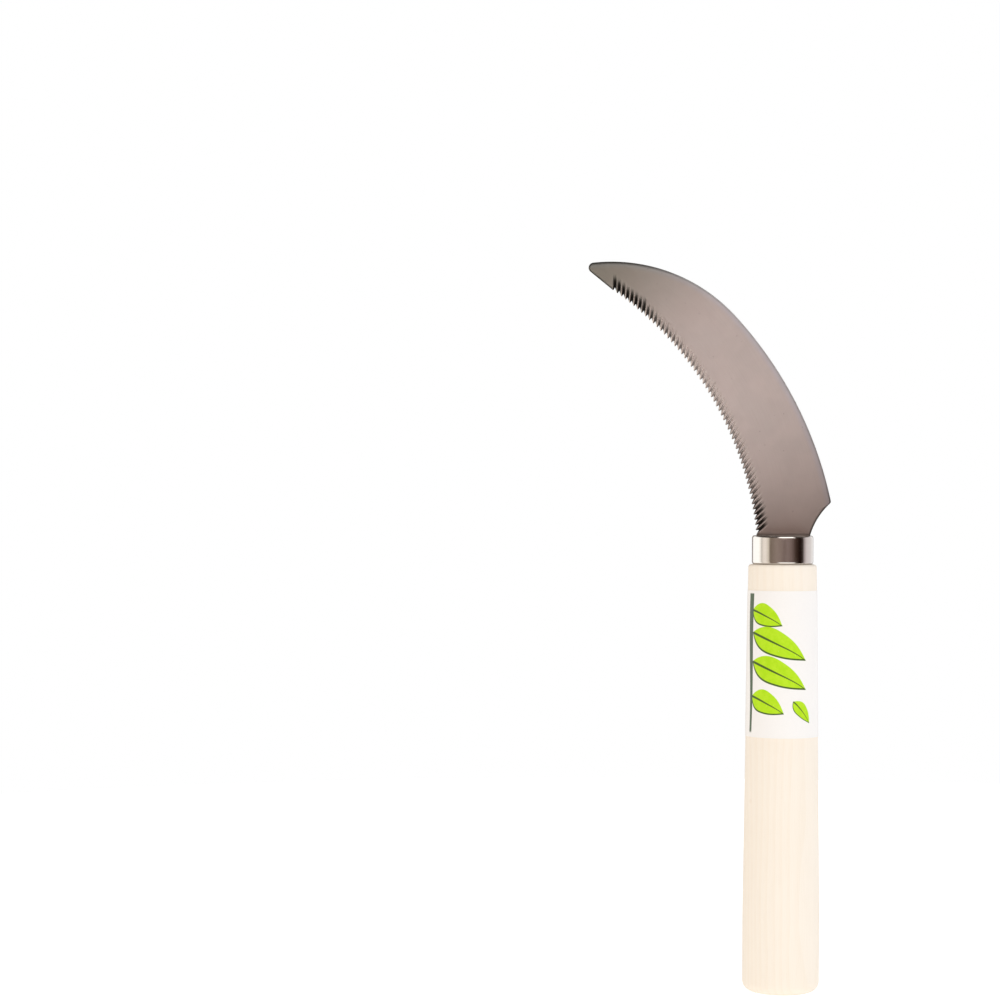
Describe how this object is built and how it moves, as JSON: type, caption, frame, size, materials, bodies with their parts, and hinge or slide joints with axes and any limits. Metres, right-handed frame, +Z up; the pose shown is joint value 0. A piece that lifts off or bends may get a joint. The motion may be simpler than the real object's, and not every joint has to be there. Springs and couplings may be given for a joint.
{
  "type": "hand sickle",
  "caption": "Hand sickle: a fine-toothed steel crescent whose tang sits in a turned wooden handle with a steel ferrule, a cross pin and a paper label.",
  "frame": {"origin": "centre of the flat butt face of the handle", "axes": "+Z up the handle's axis towards the blade, -X towards the blade's point, -Y the way the toothed face looks"},
  "size_m": [0.0937, 0.0294, 0.2802],
  "materials": {
    "blade_steel": "satin rolled and ground sheet steel, darker along the ground grooves",
    "ferrule_steel": "bright plated, pressed from sheet",
    "handle_wood": "pale close-grained wood, turned and sanded, thin clear coat",
    "pin_steel": "plain wire steel, filed flush",
    "label_paper": "white coated paper with a printed green leaf sprig"
  },
  "bodies": {
    "root": {"blade": "blade_steel", "ferrule": "ferrule_steel", "handle": "handle_wood", "cross_pin": "pin_steel", "label": "label_paper"}
  },
  "joints": []
}
